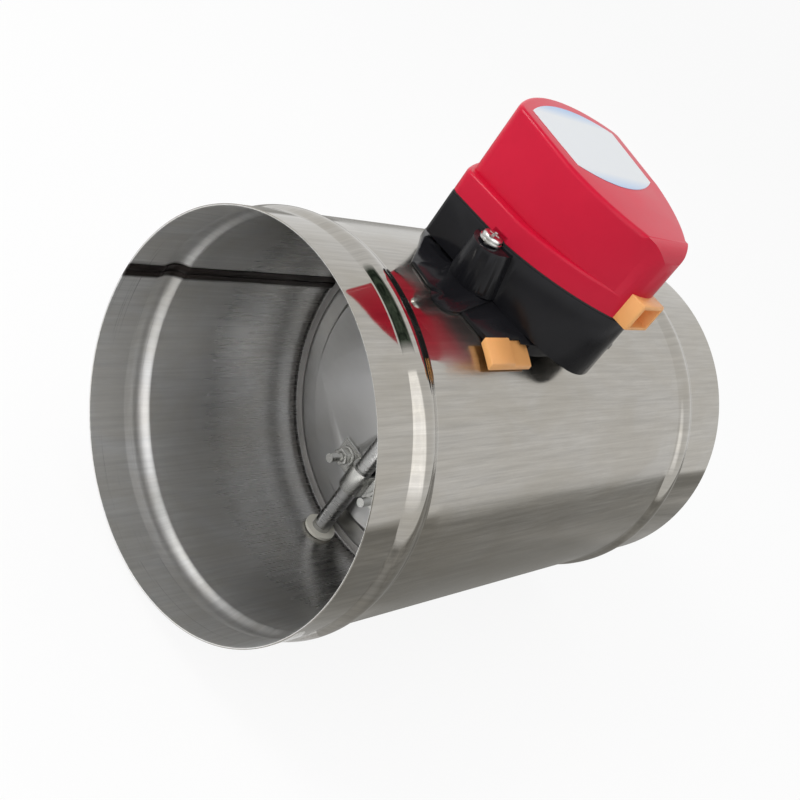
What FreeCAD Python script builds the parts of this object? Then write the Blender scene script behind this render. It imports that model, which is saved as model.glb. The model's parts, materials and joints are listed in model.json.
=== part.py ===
import FreeCAD, Part
import math
import os

from FreeCAD import Vector

# A motorised volume control damper for a round duct. Units are millimetres.
# The origin is the centre of the front spigot's end face, +X runs along the duct
# to the rear spigot, and +Z runs along the blade's shaft up to the actuator.

# Duct body
duct_radius = 74.5
duct_wall = 0.6
duct_length = 231.0
bead_height = 1.8
bead_half_width = 6.3
bead_crest = 2.4
front_bead_inset = 21.5
rear_bead_inset = 34.0

# Blade, shaft and their bushes
shaft_x = 100.0
shaft_radius = 4.0
running_clearance = 0.05
blade_sheet = 1.0
blade_offset = 8.4
dish_margin = 14.1
blade_step_width = 3.6
seal_clearance = 1.0
seal_lip = 0.8
seal_bite = 3.4
seal_thickness = 2.2
bush_wall = 2.0
bush_flange_radius = 7.0
bush_flange = 1.5
bush_overhang = 2.6
shaft_tail = 3.2
shaft_top_gap = 0.5
clip_radius = 6.6
clip_thickness = 0.8
clip_groove = 0.9

# Straps and bolts that hold the blade to its shaft
strap_z = 40.0
strap_sheet = 1.5
strap_width = 12.0
strap_reach = 18.0
bolt_y = 12.5
bolt_radius = 2.0
bolt_stickout = 12.0
bolt_head_radius = 4.0
bolt_head_height = 2.8
nut_across_flats = 7.0
nut_height = 3.2
washer_radius = 4.5
washer_height = 0.8
bolt_clearance = 0.2

# Plan of the actuator housing, seen along the shaft
corner_y = 19.5
end_rise = 11.0
side_end_y = -8.0
tier_corner_x = 32.2
tier_side_x = 31.0
skirt_corner_x = 36.2
skirt_side_x = 34.6
nose_half_width = 8.5
nose_corner_y = -44.0
nose_y = -46.6
shoulder_bulge = 3.8
corner_fillet = 2.5

# Heights of the actuator housing
base_lift = 2.1
base_slope_y = -15.0
base_slope = 14.0
base_height = 17.2
gasket_height = 0.8
gasket_inset = 0.4
skirt_height = 8.9
top_height = 52.1
top_slope = 5.8
nose_top_radius = 9.0
top_chamfer = 1.6
ledge_chamfer = 1.3
housing_wall = 2.2
base_floor = 2.2
base_shaft_gap = 0.5

# Screws on the sides of the base, which hold it to its bracket
side_screw_x = 38.2
side_screw_y = -6.2
side_boss_top = (36.5, -7.0)
side_boss_top_radius = 7.6
side_boss_foot = (33.5, -7.5)
side_boss_foot_radius = 10.0
side_boss_height = 16.4
side_screw_radius = 2.0
side_screw_head_radius = 4.3
side_screw_head = 2.6
side_screw_bite = 1.0
side_notch_radius = 4.9

# Bracket that carries the actuator on the duct's crown
seat_gap = 0.1
foot_thickness = 1.2
saddle_thickness = 4.2
saddle_flat = 24.0
saddle_slope_end = 46.0
foot_rear = (30.0, 24.0)
wing_root = (37.0, 18.0)
wing_tip_rear = (57.0, 2.0)
wing_tip_front = (57.5, -9.0)
foot_side = (48.5, -19.0)
foot_front = (39.5, -32.0)
foot_nose = (14.0, -34.5)
lobe_centre = (50.8, -11.0)
lobe_radius = 9.5
lobe_drop = 3.4
lobe_edge = 6.0
slot_x = 27.0
slot_y = (1.5, 17.0)
slot_height = 1.4
bracket_screw_x = 24.0
bracket_screw_y = 22.0
bracket_screw_radius = 1.6
bracket_screw_head_radius = 3.2
bracket_screw_head = 1.8
bracket_screw_length = 5.0
screw_hole_reach = 3.0
screw_end_gap = 0.5

# Gear train. The blade's gear is driven through one idler by the motor's pinion.
coarse_module = 0.8
fine_module = 0.5
wheel_teeth = 40
pinion_teeth = 12
pressure_angle = 25.0
addendum = 0.9
dedendum = 1.25
backlash = 0.12
idler_angle = 135.0
motor_angle = 0.0
output_gear_lift = 1.2
output_gear_face = 4.5
gear_hub_radius = 7.0
idler_gear_lift = 1.5
idler_gear_face = 3.0
flank_steps = 2
pinion_side_gap = 0.5
axle_radius = 1.5
motor_shaft_radius = 1.0
cross_pin_radius = 1.0
press_gap = 0.02
pin_inset = 0.2

# Deck, motor and circuit board inside the housing
deck_lift = 2.5
deck_sheet = 2.0
deck_margin = 0.4
post_radius = 3.2
deck_post_side = (28.3, 3.0)
deck_post_front = (17.0, -23.0)
cover_post_rear = (28.6, 17.0)
cover_post_front = (11.0, -36.5)
cover_post_height = 14.0
cover_post_roof = 2.0
cover_screw_gap = 3.0
small_screw_radius = 1.4
small_head_radius = 2.6
small_head = 1.6
deck_screw_length = 6.0
motor_screw_length = 3.6
board_screw_bite = 1.5
motor_radius = 12.0
motor_height = 16.0
motor_ear_radius = 3.4
motor_flange_sheet = 1.2
motor_screw_reach = 14.6
motor_turn = -30.0
board_gap = 4.5
board_sheet = 1.6
board_rear_y = -2.0
board_margin = 2.5
board_post = (14.0, -12.0)
terminal_width = 15.0
terminal_depth = 8.0
terminal_height = 8.0
terminal_y = -30.0
terminal_ways = 3
terminal_well = 2.0
terminal_gate = 3.0
terminal_sill = 1.0

# Label plate on the sloping top
label_rear = (26.3, 17.9)
label_front = (24.8, -7.9)
label_rise = 7.0
label_sheet = 0.4
label_proud = 0.15

# Cable sockets
socket_half_width = 7.2
socket_length = 7.6
socket_height = 10.9
socket_wall = 1.5
socket_depth = 5.0
socket_root = 4.0
socket_inset = 2.8
socket_corner = 0.6
low_socket_x = (-45.2, -31.6, -21.0)
low_socket_reach = 5.0
low_socket_height = 3.9
low_socket_step = 1.1
low_socket_root = 3.5
low_socket_gap = 0.1

UP = Vector(0, 0, 1)
ALONG = Vector(1, 0, 0)

seal_radius = duct_radius - duct_wall - seal_clearance
blade_radius = seal_radius - seal_lip
blade_dish_radius = blade_radius - dish_margin
base_bottom_z = duct_radius + base_lift
parting_z = base_bottom_z + base_height + gasket_height
ledge_z = parting_z + skirt_height
top_z = base_bottom_z + top_height
floor_z = base_bottom_z + base_floor
output_gear_z = floor_z + output_gear_lift
idler_gear_z = output_gear_z + output_gear_face + idler_gear_lift
deck_z = idler_gear_z + idler_gear_face + deck_lift
deck_top_z = deck_z + deck_sheet
board_z = deck_top_z + board_gap
dish_face_x = shaft_radius + running_clearance
bush_radius = shaft_radius + bush_wall
tall = 60.0
near = 0.01


def export(name, shape, shift=shaft_x):
    placed = shape.copy()
    placed.translate(Vector(shift, 0, 0))
    placed.exportStep("parts/" + name + ".step")
    print(name, len(placed.Solids), round(placed.Volume, 1), placed.isValid())


def rod(radius, height, x, y, z, direction=UP):
    return Part.makeCylinder(radius, height, Vector(x, y, z), direction)


def block(x0, x1, y0, y1, z0, z1):
    return Part.makeBox(x1 - x0, y1 - y0, z1 - z0, Vector(x0, y0, z0))


def prism(wire, z0, z1):
    solid = Part.Face(wire).extrude(Vector(0, 0, z1 - z0))
    solid.translate(Vector(0, 0, z0))
    return solid


def side_prism(points, half_width):
    corners = [Vector(-half_width, y, z) for y, z in points]
    face = Part.Face(Part.makePolygon(corners + corners[:1]))
    return face.extrude(Vector(2 * half_width, 0, 0))


def mirrored_pair(x, y):
    return [(x, y), (-x, y)]


def spin_x(points):
    wire = Part.makePolygon([Vector(x, 0, r) for x, r in points + points[:1]])
    return Part.Face(wire).revolve(Vector(0, 0, 0), ALONG, 360)


# Duct body: one rolled sheet with a bead near each end

def bead(x, radius):
    return [(x - bead_half_width, radius), (x - bead_crest, radius + bead_height),
            (x + bead_crest, radius + bead_height), (x + bead_half_width, radius)]


def duct_skin(radius):
    profile = [(0, 0), (0, radius)] + bead(front_bead_inset, radius)
    profile += bead(duct_length - rear_bead_inset, radius) + [(duct_length, radius), (duct_length, 0)]
    return spin_x(profile)


def bracket_screw_axis(x, y):
    angle = math.asin(y / duct_radius)
    return Vector(x, 0, 0), Vector(0, math.sin(angle), math.cos(angle))


def bracket_screw_places():
    return mirrored_pair(bracket_screw_x, bracket_screw_y) + mirrored_pair(bracket_screw_x, -bracket_screw_y)


def along_axis(x, y, radius, start, length):
    centre, direction = bracket_screw_axis(x, y)
    return Part.makeCylinder(radius, length, centre + direction * start, direction)


def make_duct():
    tube = duct_skin(duct_radius).cut(duct_skin(duct_radius - duct_wall))
    tube.translate(Vector(-shaft_x, 0, 0))
    bore = rod(bush_radius + running_clearance, 2 * tall + 2 * duct_radius, 0, 0, -tall - duct_radius)
    holes = [bore]
    for x, y in bracket_screw_places():
        holes.append(along_axis(x, y, bracket_screw_radius + running_clearance,
                                duct_radius - screw_hole_reach, 2 * screw_hole_reach))
    return tube.cut(holes)


# Bushes: their flanges stay inside the duct, clear of the blade's rim

def make_bush(end):
    inner = duct_radius - duct_wall
    seat = math.sqrt(inner ** 2 - bush_flange_radius ** 2) - seat_gap
    outer = duct_radius + bush_overhang - seat_gap if end < 0 else base_bottom_z - 2 * seat_gap
    flange = rod(bush_flange_radius, bush_flange, 0, 0, seat - bush_flange)
    barrel = rod(bush_radius, outer - seat + bush_flange, 0, 0, seat - bush_flange)
    bore = rod(shaft_radius + running_clearance, tall, 0, 0, seat - tall / 2)
    bush = flange.fuse(barrel).cut(bore)
    if end < 0:
        bush = bush.mirror(Vector(0, 0, 0), UP)
    return bush


# Blade: a disc dished towards the shaft, with a soft seal clipped on its rim

def make_blade():
    flat = dish_face_x
    rim = blade_offset - blade_sheet / 2
    step = blade_dish_radius + blade_step_width
    disc = spin_x([(flat, 0), (flat, blade_dish_radius), (rim, step), (rim, blade_radius),
                   (rim + blade_sheet, blade_radius), (rim + blade_sheet, step),
                   (flat + blade_sheet, blade_dish_radius), (flat + blade_sheet, 0)])
    for y, z in bolt_places():
        disc = disc.cut(rod(bolt_radius + bolt_clearance, 4 * blade_sheet, flat - blade_sheet, y, z, ALONG))
    return disc


def bolt_places():
    return [(y, z) for z in (strap_z, -strap_z) for y in (bolt_y, -bolt_y)]


def ring_x(x0, x1, inner, outer):
    return spin_x([(x0, inner), (x0, outer), (x1, outer), (x1, inner)])


def make_seal():
    half, skin = seal_thickness / 2, blade_sheet / 2
    inner = seal_radius - seal_bite
    body = ring_x(blade_offset - half, blade_offset + half, inner, seal_radius)
    return body.cut(ring_x(blade_offset - skin, blade_offset + skin, inner - seal_bite, blade_radius))


def shaft_bottom():
    return -(duct_radius + bush_overhang + shaft_tail)


def clip_z():
    return -(duct_radius + bush_overhang + clip_thickness)


def make_shaft():
    bottom = shaft_bottom()
    body = rod(shaft_radius, deck_top_z - shaft_top_gap - bottom, 0, 0, bottom)
    ring = rod(clip_radius, clip_thickness, 0, 0, clip_z())
    groove = ring.cut(rod(shaft_radius - clip_groove, clip_thickness, 0, 0, clip_z()))
    pin = rod(cross_pin_radius, 4 * shaft_radius, 0, -2 * shaft_radius, cross_pin_z(), Vector(0, 1, 0))
    return body.cut([groove, pin])


def make_clip():
    ring = rod(clip_radius, clip_thickness, 0, 0, clip_z())
    hole = rod(shaft_radius - clip_groove, clip_thickness, 0, 0, clip_z())
    mouth = block(0, clip_radius, -2 * clip_groove, 2 * clip_groove, clip_z(), clip_z() + clip_thickness)
    return ring.cut([hole, mouth])


def make_straps():
    straps = []
    for z in (strap_z, -strap_z):
        low, high = z - strap_width / 2, z + strap_width / 2
        crown = rod(shaft_radius + running_clearance + strap_sheet, strap_width, 0, 0, low)
        cheek = block(0, dish_face_x, -shaft_radius - strap_sheet, shaft_radius + strap_sheet, low, high)
        feet = block(dish_face_x - strap_sheet, dish_face_x, -strap_reach, strap_reach, low, high)
        outside = crown.fuse([cheek, feet]).common(block(-tall, dish_face_x, -tall, tall, low, high))
        hollow = rod(shaft_radius + running_clearance / 2, strap_width, 0, 0, low)
        throat = block(0, dish_face_x, -shaft_radius, shaft_radius, low, high)
        strap = outside.cut([hollow, throat])
        for y in (bolt_y, -bolt_y):
            strap = strap.cut(rod(bolt_radius + bolt_clearance, 3 * strap_sheet,
                                  dish_face_x - 2 * strap_sheet, y, z, ALONG))
        straps.append(strap)
    return Part.makeCompound(straps)


def hexagon(across_flats, height, x, y, z):
    corner = across_flats / math.sqrt(3)
    turns = [math.radians(60 * n) for n in range(7)]
    points = [Vector(x, y + corner * math.cos(a), z + corner * math.sin(a)) for a in turns]
    return Part.Face(Part.makePolygon(points)).extrude(Vector(height, 0, 0))


def make_bolts():
    back = dish_face_x + blade_sheet
    bolts = []
    for y, z in bolt_places():
        shank = rod(bolt_radius, bolt_stickout + blade_sheet, dish_face_x - bolt_stickout, y, z, ALONG)
        head = hexagon(2 * bolt_head_radius * math.cos(math.pi / 6), bolt_head_height, back, y, z)
        bolts.append(shank.fuse(head))
    return Part.makeCompound(bolts)


def nut_face():
    return dish_face_x - strap_sheet - washer_height


def make_washers():
    rings = []
    for y, z in bolt_places():
        disc = rod(washer_radius, washer_height, nut_face(), y, z, ALONG)
        rings.append(disc.cut(rod(bolt_radius + bolt_clearance, washer_height, nut_face(), y, z, ALONG)))
    return Part.makeCompound(rings)


def make_nuts():
    nuts = []
    for y, z in bolt_places():
        body = hexagon(nut_across_flats, nut_height, nut_face() - nut_height, y, z)
        bore = rod(bolt_radius + running_clearance, nut_height, nut_face() - nut_height, y, z, ALONG)
        nuts.append(body.cut(bore))
    return Part.makeCompound(nuts)


# Housing plan: straight sides, a bowed rear end and shoulders that run in to a blunt nose

def shoulder(sign, side_x):
    start = Vector(sign * side_x, side_end_y, 0)
    end = Vector(sign * nose_half_width, nose_corner_y, 0)
    run = end - start
    outward = Vector(-run.y, run.x, 0).normalize() * sign
    return Part.Arc(start, (start + end) * 0.5 + outward * shoulder_bulge, end).toShape()


def plan(corner_x, side_x):
    rear = Part.Arc(Vector(-corner_x, corner_y, 0), Vector(0, corner_y + end_rise, 0),
                    Vector(corner_x, corner_y, 0)).toShape()
    nose = Part.Arc(Vector(-nose_half_width, nose_corner_y, 0), Vector(0, nose_y, 0),
                    Vector(nose_half_width, nose_corner_y, 0)).toShape()
    right = Part.makeLine(Vector(corner_x, corner_y, 0), Vector(side_x, side_end_y, 0))
    left = Part.makeLine(Vector(-side_x, side_end_y, 0), Vector(-corner_x, corner_y, 0))
    return Part.Wire(Part.__sortEdges__([rear, right, shoulder(1, side_x), nose, shoulder(-1, side_x), left]))


def inset(wire, distance):
    return Part.Face(wire).makeOffset2D(-distance).OuterWire


def soften_corners(solid, corner_x):
    edges = []
    for edge in solid.Edges:
        low, high = edge.Vertexes[0].Point, edge.Vertexes[-1].Point
        upright = abs(low.x - high.x) < near and abs(low.y - high.y) < near
        if upright and abs(abs(low.x) - corner_x) < near and abs(low.y - corner_y) < near:
            edges.append(edge)
    return solid.makeFillet(corner_fillet, edges)


tier_plan = plan(tier_corner_x, tier_side_x)
skirt_plan = plan(skirt_corner_x, skirt_side_x)


def roof(drop):
    tilt = math.radians(top_slope)
    rise = math.tan(tilt)
    front = nose_y + drop
    radius = nose_top_radius - drop
    centre_y = front + radius
    centre_z = top_z - drop + rise * (centre_y - radius * math.sin(tilt)) - radius * math.cos(tilt)

    def on_bend(angle):
        return Vector(-tall, centre_y + radius * math.cos(angle), centre_z + radius * math.sin(angle))

    start, middle, end = on_bend(math.pi / 2 + tilt), on_bend(3 * math.pi / 4 + tilt / 2), on_bend(math.pi)
    low = Vector(-tall, front, parting_z - tall)
    far = Vector(-tall, tall, parting_z - tall)
    high = Vector(-tall, tall, start.z + rise * (tall - start.y))
    edges = [Part.Arc(start, middle, end).toShape(), Part.makeLine(end, low), Part.makeLine(low, far),
             Part.makeLine(far, high), Part.makeLine(high, start)]
    return Part.Face(Part.Wire(edges)).extrude(Vector(2 * tall, 0, 0))


def under_base(lower=0):
    drop = (tall + base_slope_y) * math.tan(math.radians(base_slope))
    flat = base_bottom_z - lower
    return [(base_slope_y, flat), (tall, flat), (tall, -tall), (-tall, -tall), (-tall, flat - drop)]


# Cover: a tall tier over a wider skirt, moulded as one shell

def cover_posts():
    return mirrored_pair(*cover_post_rear) + mirrored_pair(*cover_post_front)


def make_cover():
    tier = soften_corners(prism(tier_plan, parting_z, parting_z + tall), tier_corner_x).common(roof(0))
    rim = [e for e in tier.Edges if e.BoundBox.ZMin > ledge_z + skirt_height
           and e.BoundBox.YMin > side_end_y - corner_fillet]
    tier = tier.makeChamfer(top_chamfer, rim)
    skirt = soften_corners(prism(skirt_plan, parting_z, ledge_z), skirt_corner_x)
    ledge = [e for e in skirt.Edges if e.BoundBox.ZMin > ledge_z - near]
    skirt = skirt.makeChamfer(ledge_chamfer, ledge)
    outside = tier.fuse(skirt)
    hollow = prism(inset(tier_plan, housing_wall), base_top(), parting_z + tall).common(roof(housing_wall))
    hollow = hollow.fuse(prism(inset(skirt_plan, housing_wall), base_top(), ledge_z - housing_wall))
    cover = outside.cut(hollow)
    posts = [rod(post_radius, cover_post_height, x, y, parting_z) for x, y in cover_posts()]
    bores = [rod(small_screw_radius + running_clearance, cover_post_height - cover_post_roof, x, y, parting_z)
             for x, y in cover_posts()]
    notches = [rod(side_notch_radius, skirt_height, x, y, parting_z)
               for x, y in mirrored_pair(side_screw_x, side_screw_y)]
    cover = cover.fuse(posts).cut(bores + notches)
    slot = block(-socket_half_width, socket_half_width, -tall, nose_y + 3 * housing_wall,
                 parting_z, parting_z + socket_height)
    recess = prism(label_plan(running_clearance), parting_z, parting_z + tall)
    recess = recess.cut(roof(label_sheet - label_proud))
    return cover.cut([slot, recess])


def label_plan(margin):
    rear_x, rear_y = label_rear[0] + margin, label_rear[1] + margin
    front_x, front_y = label_front[0] + margin, label_front[1] - margin
    rear = Part.Arc(Vector(-rear_x, rear_y, 0), Vector(0, rear_y + label_rise, 0), Vector(rear_x, rear_y, 0))
    front = Part.Arc(Vector(-front_x, front_y, 0), Vector(0, front_y - label_rise, 0),
                     Vector(front_x, front_y, 0))
    sides = [Part.makeLine(Vector(s * rear_x, rear_y, 0), Vector(s * front_x, front_y, 0)) for s in (1, -1)]
    return Part.Wire(Part.__sortEdges__([rear.toShape(), front.toShape()] + sides))


def make_label():
    slab = roof(-label_proud).cut(roof(label_sheet - label_proud))
    return prism(label_plan(0), parting_z, parting_z + tall).common(slab)


# Base: a walled tray with a leaning screw boss on each side

def base_top():
    return base_bottom_z + base_height


def deck_posts():
    return mirrored_pair(*deck_post_side) + mirrored_pair(*deck_post_front)


def make_base():
    body = soften_corners(prism(skirt_plan, duct_radius / 2, base_top()), skirt_corner_x)
    body = body.cut(side_prism(under_base(), tall))
    hollow = prism(inset(skirt_plan, housing_wall), floor_z, parting_z)
    bosses = [side_boss(sign).cut(hollow) for sign in (1, -1)]
    posts = [rod(post_radius, deck_z - floor_z, x, y, floor_z) for x, y in deck_posts()]
    posts += [rod(post_radius, base_top() - floor_z, x, y, floor_z) for x, y in cover_posts()]
    pivot = rod(2 * axle_radius, pinion_z() - pinion_side_gap / 2 - floor_z, *idler_place(), floor_z)
    base = body.cut(hollow).fuse(bosses + posts + [pivot])
    holes = [rod(shaft_radius + base_shaft_gap, tall, 0, 0, floor_z - tall / 2)]
    for x, y in mirrored_pair(side_screw_x, side_screw_y):
        holes.append(rod(side_screw_radius + running_clearance, tall, x, y, floor_z - tall / 2))
        holes.append(rod(side_notch_radius, tall, x, y, base_bottom_z + side_boss_height))
    for x, y in deck_posts():
        holes.append(rod(small_screw_radius + running_clearance, deck_z - floor_z, x, y, floor_z))
    for x, y in cover_posts():
        holes.append(rod(small_screw_radius + running_clearance, tall, x, y, floor_z - tall / 2))
        holes.append(rod(small_head_radius + running_clearance, tall / 2, x, y, head_seat() - tall / 2))
    x, y = idler_place()
    holes.append(rod(axle_radius + running_clearance, tall, x, y, floor_z + pinion_side_gap))
    return base.cut(holes)


def side_boss(sign):
    foot = Vector(sign * side_boss_foot[0], side_boss_foot[1], base_bottom_z)
    rise = Vector(sign * side_boss_top[0], side_boss_top[1], base_bottom_z + side_boss_height) - foot
    cone = Part.makeCone(side_boss_foot_radius, side_boss_top_radius, rise.Length, foot, rise)
    skirt = Part.makeCylinder(side_boss_foot_radius, side_boss_foot_radius, foot, rise * -1)
    slab = block(-tall, tall, -tall, tall, base_bottom_z, base_bottom_z + side_boss_height)
    return cone.fuse(skirt).common(slab)


def head_seat():
    return base_bottom_z + small_head


def make_gasket():
    outline = prism(inset(skirt_plan, gasket_inset), base_top(), parting_z)
    middle = prism(inset(skirt_plan, housing_wall - gasket_inset / 2), base_top(), parting_z)
    notches = [rod(side_notch_radius, gasket_height, x, y, base_top())
               for x, y in mirrored_pair(side_screw_x, side_screw_y)]
    return outline.cut([middle] + notches)


# Bracket: a saddle turned about the duct's axis, with a wing and a lobe under each screw boss

def foot_plan():
    side = [foot_rear, wing_root, wing_tip_rear, wing_tip_front, foot_side, foot_front, foot_nose]
    outline = [Vector(x, y, 0) for x, y in side] + [Vector(-x, y, 0) for x, y in reversed(side)]
    return Part.makePolygon(outline + outline[:1])


def saddle():
    crown, rim = duct_radius + seat_gap + saddle_thickness, duct_radius + seat_gap + foot_thickness
    right = [(saddle_flat, crown), (saddle_slope_end, rim), (2 * tall, rim), (2 * tall, 0)]
    return spin_x([(-x, r) for x, r in reversed(right)] + right)


def lobe(sign):
    low = Vector(sign * lobe_centre[0], lobe_centre[1], base_bottom_z - lobe_drop)
    high = Vector(sign * side_boss_foot[0], side_boss_foot[1], base_bottom_z)
    circles = [Part.makeCircle(lobe_radius, low), Part.makeCircle(side_boss_foot_radius, high)]
    slope = Part.makeLoft([Part.Wire(circle) for circle in circles], True, True)
    return slope.fuse(rod(lobe_radius, lobe_edge, low.x, low.y, low.z - lobe_edge))


def make_bracket():
    solid = prism(foot_plan(), 0, base_bottom_z).common(saddle()).fuse([lobe(1), lobe(-1)])
    solid = solid.common(side_prism(under_base(), 2 * tall))
    tools = [Part.makeCylinder(duct_radius + seat_gap, 4 * tall, Vector(-2 * tall, 0, 0), ALONG),
             rod(bush_radius + running_clearance, tall, 0, 0, duct_radius - tall / 2), low_socket_space()]
    slot_floor = base_bottom_z - slot_height
    for inner, outer in ((slot_x, 2 * tall), (-2 * tall, -slot_x)):
        tools.append(block(inner, outer, slot_y[0], slot_y[1], slot_floor, base_bottom_z))
    for x, y in mirrored_pair(side_screw_x, side_screw_y):
        tools.append(rod(side_screw_radius + running_clearance, tall, x, y, duct_radius - tall / 2))
    for x, y in bracket_screw_places():
        tools.append(along_axis(x, y, bracket_screw_radius + running_clearance, bracket_screw_start(),
                                bracket_screw_length + screw_end_gap))
    return max(solid.cut(tools).Solids, key=lambda piece: piece.Volume)


def bracket_screw_start():
    return duct_radius - duct_wall - seat_gap - bracket_screw_head


def make_bracket_screws():
    screws = []
    for x, y in bracket_screw_places():
        head = along_axis(x, y, bracket_screw_head_radius, bracket_screw_start(), bracket_screw_head)
        shank = along_axis(x, y, bracket_screw_radius, bracket_screw_start(), bracket_screw_length)
        screws.append(head.fuse(shank))
    return Part.makeCompound(screws)


# Screws with round heads, pointing down (or up, for the ones under the base)

def round_screw(x, y, z, radius, length, head_radius, head, sign=-1):
    base = z if sign < 0 else z - head
    cap = rod(head_radius, head, x, y, base)
    shank = rod(radius, length, x, y, z - length if sign < 0 else z)
    return cap.fuse(shank)


def make_side_screws():
    seat = base_bottom_z + side_boss_height
    length = seat - duct_radius - side_screw_bite
    return Part.makeCompound([round_screw(x, y, seat, side_screw_radius, length,
                                          side_screw_head_radius, side_screw_head)
                              for x, y in mirrored_pair(side_screw_x, side_screw_y)])


def make_cover_screws():
    length = parting_z + cover_post_height - cover_screw_gap - head_seat()
    return Part.makeCompound([round_screw(x, y, head_seat(), small_screw_radius, length, small_head_radius,
                                          small_head, 1) for x, y in cover_posts()])


# Gears with involute flanks

def involute_gear(module, teeth, face, turn):
    pitch = module * teeth / 2
    base = pitch * math.cos(math.radians(pressure_angle))
    tip = pitch + addendum * module
    root = pitch - dedendum * module

    def spread(radius):
        if radius <= base:
            return 0
        roll = math.sqrt((radius / base) ** 2 - 1)
        return roll - math.atan(roll)

    half_tooth = math.pi / (2 * teeth) - backlash * module / (2 * pitch) + spread(pitch)
    start = max(base, root)
    flank = [start + (tip - start) * n / flank_steps for n in range(flank_steps + 1)]
    points = []
    for tooth in range(teeth):
        middle = math.radians(turn) + 2 * math.pi * tooth / teeth
        side = [(root, half_tooth)] if root < base else []
        side += [(r, half_tooth - spread(r)) for r in flank]
        rising = [(r, middle - a) for r, a in side]
        falling = [(r, middle + a) for r, a in reversed(side)]
        points += [Vector(r * math.cos(a), r * math.sin(a), 0) for r, a in rising + falling]
    return Part.Face(Part.makePolygon(points + points[:1])).extrude(Vector(0, 0, face))


def mesh_distance(module):
    return module * (wheel_teeth + pinion_teeth) / 2


def idler_place():
    reach = mesh_distance(coarse_module)
    angle = math.radians(idler_angle)
    return reach * math.cos(angle), reach * math.sin(angle)


def motor_place():
    x, y = idler_place()
    reach = mesh_distance(fine_module)
    angle = math.radians(motor_angle)
    return x + reach * math.cos(angle), y + reach * math.sin(angle)


def cross_pin_z():
    return (output_gear_z + output_gear_face + deck_z) / 2


def make_output_gear():
    gear = involute_gear(coarse_module, wheel_teeth, output_gear_face, idler_angle)
    gear.translate(Vector(0, 0, output_gear_z))
    hub = rod(gear_hub_radius, deck_z - pinion_side_gap - output_gear_z, 0, 0, output_gear_z)
    bore = rod(shaft_radius + press_gap, tall, 0, 0, output_gear_z)
    pin = rod(cross_pin_radius, 4 * gear_hub_radius, 0, -2 * gear_hub_radius, cross_pin_z(), Vector(0, 1, 0))
    return gear.fuse(hub).cut([bore, pin])


def make_cross_pin():
    half = gear_hub_radius - pin_inset
    return rod(cross_pin_radius - press_gap, 2 * half, 0, -half, cross_pin_z(), Vector(0, 1, 0))


def pinion_z():
    return output_gear_z - pinion_side_gap


def make_idler_pinion():
    turn = idler_angle + 180 + 180 / pinion_teeth
    face = idler_gear_z - pinion_z()
    gear = involute_gear(coarse_module, pinion_teeth, face, turn)
    gear.translate(Vector(*idler_place(), pinion_z()))
    return gear.cut(rod(axle_radius + running_clearance, tall, *idler_place(), floor_z))


def make_idler_gear():
    gear = involute_gear(fine_module, wheel_teeth, idler_gear_face, motor_angle)
    gear.translate(Vector(*idler_place(), idler_gear_z))
    collar = rod(2 * axle_radius, deck_z - pinion_side_gap / 2 - idler_gear_z, *idler_place(), idler_gear_z)
    return gear.fuse(collar).cut(rod(axle_radius + running_clearance, tall, *idler_place(), floor_z))


def make_axle():
    return rod(axle_radius, deck_top_z - floor_z - pinion_side_gap, *idler_place(), floor_z + pinion_side_gap)


def make_motor_pinion():
    turn = motor_angle + 180 + 180 / pinion_teeth
    low = idler_gear_z - pinion_side_gap
    gear = involute_gear(fine_module, pinion_teeth, idler_gear_face + 2 * pinion_side_gap, turn)
    gear.translate(Vector(*motor_place(), low))
    spindle = rod(motor_shaft_radius, deck_top_z + motor_height / 2 - low, *motor_place(), low)
    return gear.fuse(spindle)


# Deck, motor and circuit board

def make_deck():
    deck = prism(inset(skirt_plan, housing_wall + deck_margin), deck_z, deck_top_z)
    x, y = motor_place()
    holes = [rod(shaft_radius + running_clearance, tall, 0, 0, deck_z - deck_sheet),
             rod(axle_radius + running_clearance, tall, *idler_place(), deck_z - deck_sheet),
             rod(2 * motor_shaft_radius, tall, x, y, deck_z - deck_sheet)]
    for place in deck_posts() + motor_screw_places() + board_posts():
        holes.append(rod(small_screw_radius + running_clearance, tall, *place, deck_z - deck_sheet))
    for place in cover_posts():
        holes.append(rod(post_radius + deck_margin, tall, *place, deck_z - deck_sheet))
    return deck.cut(holes)


def motor_screw_places():
    x, y = motor_place()
    angle = math.radians(motor_turn)
    across, along = motor_screw_reach * math.cos(angle), motor_screw_reach * math.sin(angle)
    return [(x - across, y - along), (x + across, y + along)]


def make_motor():
    x, y = motor_place()
    can = rod(motor_radius, motor_height, x, y, deck_top_z)
    flange = block(x - motor_screw_reach, x + motor_screw_reach, y - motor_ear_radius, y + motor_ear_radius,
                   deck_top_z, deck_top_z + motor_flange_sheet)
    flange.rotate(Vector(x, y, 0), UP, motor_turn)
    ears = [rod(motor_ear_radius, motor_flange_sheet, *place, deck_top_z) for place in motor_screw_places()]
    motor = can.fuse([flange] + ears)
    motor = motor.cut(rod(motor_shaft_radius + running_clearance, motor_height / 2 + pinion_side_gap,
                          x, y, deck_top_z))
    for place in motor_screw_places():
        motor = motor.cut(rod(small_screw_radius + running_clearance, motor_flange_sheet, *place, deck_top_z))
    return motor


def small_screws(places, z, length):
    return Part.makeCompound([round_screw(x, y, z, small_screw_radius, length, small_head_radius, small_head)
                              for x, y in places])


def board_posts():
    return mirrored_pair(*board_post)


def make_board():
    board = prism(inset(tier_plan, housing_wall + board_margin), board_z, board_z + board_sheet)
    board = board.common(block(-tall, tall, -tall, board_rear_y, 0, 3 * tall))
    for place in board_posts():
        board = board.cut(rod(small_screw_radius + running_clearance, board_sheet, *place, board_z))
    for place in cover_posts():
        board = board.cut(rod(post_radius + deck_margin, board_sheet, *place, board_z))
    return board


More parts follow.
